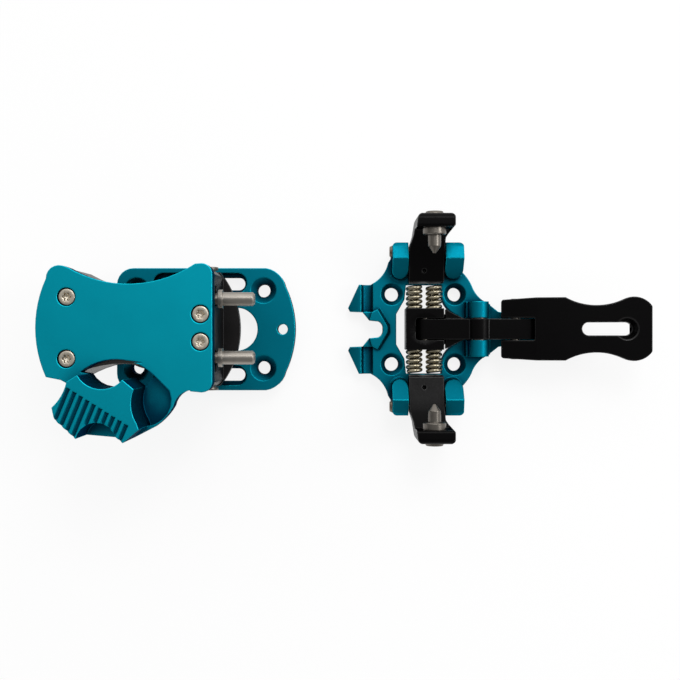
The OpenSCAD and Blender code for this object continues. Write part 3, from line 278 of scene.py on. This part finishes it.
def turned_steel(name, colour, pale, axis, roughness=0.32, ring_bump=0.04):
    """Rings along one axis as a small bump, and noise of 3 mm in the tone and the gloss."""
    finish = new_material(name)
    place = add_node(finish, "TexCoord").outputs["Object"]
    rings = add_node(finish, "TexWave", {"bands_direction": axis}, Vector=place,
                     Scale=per_mm(RING_MM) * ONE_WAVE, Distortion=0.6, Detail=2.0).outputs["Fac"]
    smear = add_node(finish, "TexNoise", Vector=place, Scale=per_mm(SMEAR_MM), Detail=3.0).outputs["Fac"]
    tone = add_node(finish, "MixRGB", Fac=smear, Color1=linear(colour), Color2=linear(pale)).outputs[0]
    gloss = add_node(finish, "MapRange", Value=smear, To_Min=roughness - 0.08,
                     To_Max=roughness + 0.1).outputs[0]
    relief = add_node(finish, "Bump", Height=rings, Strength=ring_bump,
                      Distance=RING_RELIEF_MM * MM).outputs[0]
    shader = add_node(finish, "BsdfPrincipled", Base_Color=tone, Metallic=1.0, Roughness=gloss,
                      Normal=relief)
    add_node(finish, "OutputMaterial", Surface=shader.outputs[0])
    return finish


# Bare turned steel, in one finish for each direction that a piece's axis takes.
# The same steel takes three tones: darkest on pieces across the ski, palest on those along it.
steel_x = turned_steel("turned_steel_along_x", "#88837C", "#9E9890", "X")
steel_y = turned_steel("turned_steel_along_y", "#5F5B55", "#716C66", "Y")
steel_z = turned_steel("turned_steel_along_z", "#7C7770", "#918B83", "Z")
# Stainless screws: paler and softer in their gloss.
screw_steel = turned_steel("satin_screw_steel", "#B5AC9C", "#C6BEAF", "Z", 0.36)
# Wing axles: browned against rust.
axle_steel = turned_steel("browned_axle_steel", "#6E6156", "#857669", "X", 0.38)
# Spring wire: drawn through a die, so smooth that it carries next to no rings.
spring_wire = turned_steel("drawn_spring_wire", "#867F6C", "#A39B87", "Y", 0.24, ring_bump=0.03)
print("steel finishes:", [m.name for m in bpy.data.materials if "steel" in m.name or "wire" in m.name])

# %% [markdown]
# ## Finishes and broken edges on the CAD solids
# A milled piece never has a knife edge: it is chamfered or tumbled, and that
# narrow band is what catches the light. On most black, grey and steel pieces
# three modifiers make it without touching the solid's vertices: Weld joins the
# loose triangles, a planar Decimate makes whole faces of them, and Bevel breaks
# each sharp edge. The band takes the second material, which on the black and
# grey pieces is painted paler than the face: a painted highlight. The teal pieces
# have their painted rim highlights in the shader, so they, and pieces that are
# mostly hidden, only get their sharp edges split. Weighted normals keep the flat faces flat.

# %% Dress the solids
WELD_MM = 0.002
FLAT_DEGREES = 0.6
BREAK_DEGREES = 33
SPLIT_DEGREES = 30


def dress(names, finish, edge=None, width_mm=0.3):
    """Gives each node its finish, smooth shading and, with an edge finish, broken edges."""
    for name in names:
        node = nodes[name]
        node.data.materials.clear()
        node.data.materials.append(finish)
        node.data.polygons.foreach_set("use_smooth", np.ones(len(node.data.polygons), bool))
        weld = node.modifiers.new("joined", "WELD")
        weld.merge_threshold = WELD_MM * MM
        if edge:
            node.data.materials.append(edge)
            flat = node.modifiers.new("whole_faces", "DECIMATE")
            flat.decimate_type = "DISSOLVE"
            flat.angle_limit = np.radians(FLAT_DEGREES)
            bevel = node.modifiers.new("broken_edges", "BEVEL")
            bevel.width = width_mm * MM
            bevel.segments = 2
            bevel.limit_method = "ANGLE"
            bevel.angle_limit = np.radians(BREAK_DEGREES)
            bevel.use_clamp_overlap = False
            bevel.miter_outer = "MITER_ARC"
            bevel.material = 1
        else:
            split = node.modifiers.new("crisp_edges", "EDGE_SPLIT")
            split.split_angle = np.radians(SPLIT_DEGREES)
        node.modifiers.new("even_shading", "WEIGHTED_NORMAL").keep_sharp = True


# Plates and housing
dress(["top_cover"], cover_teal)
dress(["toe_base", "heel_base"], base_teal)
dress(["left_wing", "right_wing", "lever_handle"], hard_black, black_edge_highlight, width_mm=0.4)
dress(["spring_block", "rocker_arm"], hard_black, black_edge_highlight, width_mm=0.25)
dress(["foot_plate"], satin_black, black_edge_highlight, width_mm=0.25)
dress(["tower_housing"], grey_film, grey_edge_highlight, width_mm=0.25)
dress(["heel_slider", "left_pin_arm", "right_pin_arm"], grey_film)
dress(["release_adjuster", "turn_adjuster"], grey_film, grey_edge_highlight, width_mm=0.2)

# Pins, axles and screws
PIN_BREAK_MM = 0.12
across_ski = ["left_toe_pin", "right_toe_pin", "left_toe_pin_nut", "right_toe_pin_nut",
              "rocker_pin", "block_pin", "lever_pin", "cross_bolt"]
along_ski = ["left_heel_pin", "right_heel_pin", "release_wedge", "length_screw", "turn_plunger"]
dress(across_ski, steel_y, steel_y, PIN_BREAK_MM)
dress(along_ski, steel_x, steel_x, PIN_BREAK_MM)
dress(["left_wing_axle", "right_wing_axle"], axle_steel, axle_steel, PIN_BREAK_MM)
dress(["heel_post", "left_arm_pivot", "right_arm_pivot"], steel_z)
print("dressed:", sum(1 for n in nodes.values() if n.modifiers))

# %% [markdown]
# ## New meshes from arrays
# The two new kinds of piece, springs and screws, are both a grid of points:
# rows along a path or profile, columns round it. The points are worked out as
# whole arrays, the quads join each point to its neighbours, and a fan of
# triangles closes each end on one middle point.

# %% Grid to mesh
def closed_grid(name, rings, first, last, finish):
    """Mesh from rings (rows, columns, 3), wrapped round, with a fan to the points first and last."""
    rows, columns, _ = rings.shape
    index = np.arange(rows * columns).reshape(rows, columns)
    beside = np.roll(index, -1, axis=1)
    quads = np.stack([index[:-1], beside[:-1], beside[1:], index[1:]], -1).reshape(-1, 4)
    first_index = np.full(columns, rows * columns)
    start = np.stack([beside[0], index[0], first_index], -1)
    end = np.stack([index[-1], beside[-1], first_index + 1], -1)
    points = np.vstack([rings.reshape(-1, 3), first, last])
    mesh = bpy.data.meshes.new(name)
    mesh.from_pydata(points.tolist(), [], quads.tolist() + start.tolist() + end.tolist())
    mesh.polygons.foreach_set("use_smooth", np.ones(len(mesh.polygons), bool))
    mesh.materials.append(finish)
    mesh.update()
    piece = bpy.data.objects.new(name, mesh)
    bpy.context.scene.collection.objects.link(piece)
    print(name, "faces:", len(mesh.polygons))
    return piece


# %% [markdown]
# ## Springs
# Each wing is pushed by two compression springs, and two more sit in the heel
# tower. A curve with a bevel would do, but a worked-out path also gives the
# closer end turns: the pitch is a fifth wider between them. The coils are wound
# right-handed, as on the real binding. The coarse CAD coil fixes the length,
# the outside diameter and the place. The spring behind the release wedge
# gets a mesh of its own.

# %% Path of a coil
END_TURNS = 0.315
EASE_TURNS = 0.9
WIDER_PITCH = 0.2


def pitch_profile(turns, steps):
    """Turns and height along the coil, from 0 to 1: the pitch eases to a fifth more past the end turns."""
    t = np.linspace(0, turns, steps)
    ease = np.clip((np.minimum(t, turns - t) - END_TURNS) / EASE_TURNS, 0, 1)
    pitch = 1 + WIDER_PITCH * ease * ease * (3 - 2 * ease)
    height = np.concatenate([[0], np.cumsum((pitch[1:] + pitch[:-1]) / 2)])
    return t, height / height[-1]


print("height after one of five turns:", round(float(np.interp(1, *pitch_profile(5, 200))), 3))

# %% Wind the springs
STEPS_PER_TURN = 40
WIRE_SIDES = 14
WING_WIRE_MM = 1.8
TOWER_WIRE_MM = 1.6


def wind(node, axis, turns, wire_mm, body, start=0.0):
    """Centre line = radius x (cos, sin) of the turn, and the eased height; wire = a circle across it."""
    lowest, highest = (np.array(corner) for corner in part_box(node))
    a = "xyz".index(axis)
    u, v = (a + 1) % 3, (a + 2) % 3
    size = highest - lowest
    wire = wire_mm * MM
    radius = (min(size[u], size[v]) - wire) / 2
    turn, height = pitch_profile(turns, int(turns * STEPS_PER_TURN))
    angle = 2 * np.pi * turn + start
    out = np.stack([np.cos(angle), np.sin(angle), 0 * angle], -1)
    path = out * radius
    path[:, 2] = wire / 2 + (size[a] - wire) * height
    tangent = np.gradient(path, axis=0)
    tangent /= np.linalg.norm(tangent, axis=1, keepdims=True)
    side = np.cross(tangent, out)
    side /= np.linalg.norm(side, axis=1, keepdims=True)
    face = np.cross(side, tangent)
    round_wire = np.linspace(0, 2 * np.pi, WIRE_SIDES, endpoint=False)[None, :, None]
    circle = face[:, None] * np.cos(round_wire) + side[:, None] * np.sin(round_wire)
    rings = path[:, None] + wire / 2 * circle
    order = np.argsort([u, v, a])
    foot = (lowest + highest) / 2
    foot[a] = lowest[a]
    piece = closed_grid(node + "_wire", rings[..., order] + foot, path[0, order] + foot,
                        path[-1, order] + foot, spring_wire)
    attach(piece, body)
    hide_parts(node)
    return piece


# The wire's ends lie at these angles, mirrored from the left pair to the right pair.
for side_name, hand in (("left_", 1), ("right_", -1)):
    for end_name, start_angle in (("front_", 1.35), ("rear_", 1.2)):
        wind(side_name + end_name + "spring", "y", 5.0, WING_WIRE_MM, "block_unit", hand * start_angle)
release_coil = wind("release_spring", "x", 7.5, TOWER_WIRE_MM, "tower_unit")
wind("turn_spring", "x", 5.5, TOWER_WIRE_MM, "tower_unit")
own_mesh(release_coil)

# %% [markdown]
# ## Cover screws
# Four screws hold the cover. Each head is low and flat with a broken rim, and a
# six-lobed recess for the driver. A screw is a profile turned round its axis,
# and only the rows of the recess change their radius with the angle, six waves
# to a turn. That is simpler than cutting the recess out with a Boolean.

# %% Turn the screws
SHANK = 1.6
HEAD_HEIGHT = 3.1
RECESS_DEPTH = 2.3
SCREW_SIDES = 72
LOBES = 6


def cover_screw(node, body):
    """Profile (radius, height, lobe) in mm turned round z: radius + lobe x cos(6 angle)."""
    lowest, highest = (np.array(corner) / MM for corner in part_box(node))
    head = (highest[0] - lowest[0]) / 2
    top = highest[2]
    shank_and_head = [[SHANK, lowest[2], 0], [SHANK, top - HEAD_HEIGHT, 0],
                      [head, top - HEAD_HEIGHT, 0], [head, top - 0.35, 0]]
    broken_rim = [[head - 0.12, top - 0.12, 0], [head - 0.4, top, 0]]
    recess = [[1.75, top, 0], [1.62, top - 0.05, 0.1], [1.42, top - 0.25, 0.2],
              [1.36, top - 1.7, 0.2], [0.7, top - 2.1, 0.05]]
    profile = np.array(shank_and_head + broken_rim + recess)
    angle = np.linspace(0, 2 * np.pi, SCREW_SIDES, endpoint=False)
    radius = profile[:, :1] + profile[:, 2:] * np.cos(LOBES * angle)
    height = np.repeat(profile[:, 1:2], SCREW_SIDES, 1)
    rings = np.stack([radius * np.cos(angle), radius * np.sin(angle), height], -1)
    middle = np.append((lowest[:2] + highest[:2]) / 2, 0)
    foot = middle + [0, 0, lowest[2]]
    recess_floor = middle + [0, 0, top - RECESS_DEPTH]
    piece = closed_grid(node + "_turned", (rings + middle) * MM, foot * MM, recess_floor * MM, screw_steel)
    piece.modifiers.new("crisp_rims", "EDGE_SPLIT").split_angle = np.radians(40)
    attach(piece, body)
    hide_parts(node)
    return piece


screws = [cover_screw(corner + "_cover_screw", "tower_unit")
          for corner in ("front_left", "front_right", "rear_left", "rear_right")]
print("screws:", len(screws))

# %% [markdown]
# ## White paper floor
# The binding lies on white paper. A lamp strong enough to make the paper white
# would bleach the object too. So a share of the paper shines by itself, only
# for the camera and for mirror rays, and the rest still takes a soft shadow.

# %% Floor
FLOOR_HALF = 6.0
FLOOR_HEIGHT = -0.2 * MM
GLOW_SHARE = 0.86

floor_corners = [(x * FLOOR_HALF, y * FLOOR_HALF, FLOOR_HEIGHT)
                 for x, y in ((-1, -1), (1, -1), (1, 1), (-1, 1))]
floor_mesh = bpy.data.meshes.new("paper_floor")
floor_mesh.from_pydata(floor_corners, [], [(0, 1, 2, 3)])
floor = bpy.data.objects.new("paper_floor", floor_mesh)
bpy.context.scene.collection.objects.link(floor)
paper = new_material("white_paper")
ray = add_node(paper, "LightPath").outputs
seen = add_node(paper, "Math", {"operation": "MAXIMUM"},
                _0=ray["Is Camera Ray"], _1=ray["Is Glossy Ray"]).outputs[0]
seen = add_node(paper, "Math", {"operation": "MAXIMUM"},
                _0=seen, _1=ray["Is Transmission Ray"]).outputs[0]
glow_share = add_node(paper, "Math", {"operation": "MULTIPLY"}, _0=seen, _1=GLOW_SHARE).outputs[0]
matt = add_node(paper, "BsdfDiffuse", Color=linear("#F4F4F4")).outputs[0]
glow = add_node(paper, "Emission", Color=linear("#FFFFFF"), Strength=1.0).outputs[0]
mixed = add_node(paper, "MixShader", _0=glow_share, _1=matt, _2=glow).outputs[0]
add_node(paper, "OutputMaterial", Surface=mixed)
floor_mesh.materials.append(paper)
print("floor:", 2 * FLOOR_HALF, "m wide")

# %% [markdown]
# ## Sky and lamps
# Anodised metal shows what it mirrors, so the sky matters more than the lamps.
# It is pale all round the horizon, bright towards the window side and dim on
# the other side, which gives the teal plates their slow change from light to
# dark. Two small soft lamps stand for the window and a bright far wall, and
# give the edges their highlights.

# %% Sky
DIM_SKY = 0.40
BRIGHT_SKY = 1.6
HORIZON = 0.9

world = bpy.data.worlds.new("pale_studio")
bpy.context.scene.world = world
world.use_nodes = True
world.node_tree.nodes.clear()
direction = add_node(world, "TexCoord").outputs["Generated"]
sky = add_node(world, "SeparateXYZ", Vector=direction).outputs
to_window = add_node(world, "Math", {"operation": "MULTIPLY_ADD"},
                     _0=sky["X"], _1=0.25, _2=sky["Y"]).outputs[0]
slope = add_node(world, "MapRange", {"interpolation_type": "SMOOTHSTEP"}, Value=to_window,
                 From_Min=-0.16, From_Max=0.85, To_Min=DIM_SKY, To_Max=BRIGHT_SKY).outputs[0]
horizon = add_node(world, "MapRange", {"interpolation_type": "SMOOTHSTEP"}, Value=sky["Z"],
                   From_Min=0.05, From_Max=0.55, To_Min=HORIZON, To_Max=0.0).outputs[0]
strength = add_node(world, "Math", {"operation": "MAXIMUM"}, _0=slope, _1=horizon).outputs[0]
light = add_node(world, "Background", Color=linear("#FFFFFF"), Strength=strength).outputs[0]
add_node(world, "OutputWorld", Surface=light)
print("sky from", DIM_SKY, "to", BRIGHT_SKY)

# %% Lamps
LAMP_SIZE = 0.3
middle = ((np.array(cad_box[0]) + np.array(cad_box[1])) / 2).tolist()


def lamp(name, place, watts):
    """A square area lamp at place that faces the object's middle."""
    source = bpy.data.lights.new(name, "AREA")
    source.shape = "SQUARE"
    source.size = LAMP_SIZE
    source.energy = watts
    holder = bpy.data.objects.new(name, source)
    bpy.context.scene.collection.objects.link(holder)
    x, y, z = np.array(middle) - np.array(place)
    holder.location = place
    holder.rotation_euler = (np.arctan2(np.hypot(x, y), -z), 0, np.arctan2(y, x) - np.pi / 2)


lamp("window", (0.10, 0.48, 0.80), watts=2.2)
lamp("far_wall", (0.70, 0.10, 0.60), watts=2.0)
print("lamps face", [round(c, 3) for c in middle])

# %% [markdown]
# ## Camera
# The picture looks straight down from about 0.42 m, with the ski's tip to the
# right. A perspective lens shows the inner walls of the holes near the edge.

# %% Camera and colour
CAMERA_MM = (-35.7, -4.6, 420)
SENSOR_MM = 36
LENS_MM = 51.13

camera = bpy.data.objects.new("camera", bpy.data.cameras.new("camera"))
bpy.context.scene.collection.objects.link(camera)
camera.data.sensor_width = SENSOR_MM
camera.data.lens = LENS_MM
camera.data.clip_start = 0.01
camera.location = [c * MM for c in CAMERA_MM]
bpy.context.scene.camera = camera
bpy.context.scene.view_settings.view_transform = "Standard"
print("camera at", tuple(round(c, 4) for c in camera.location))
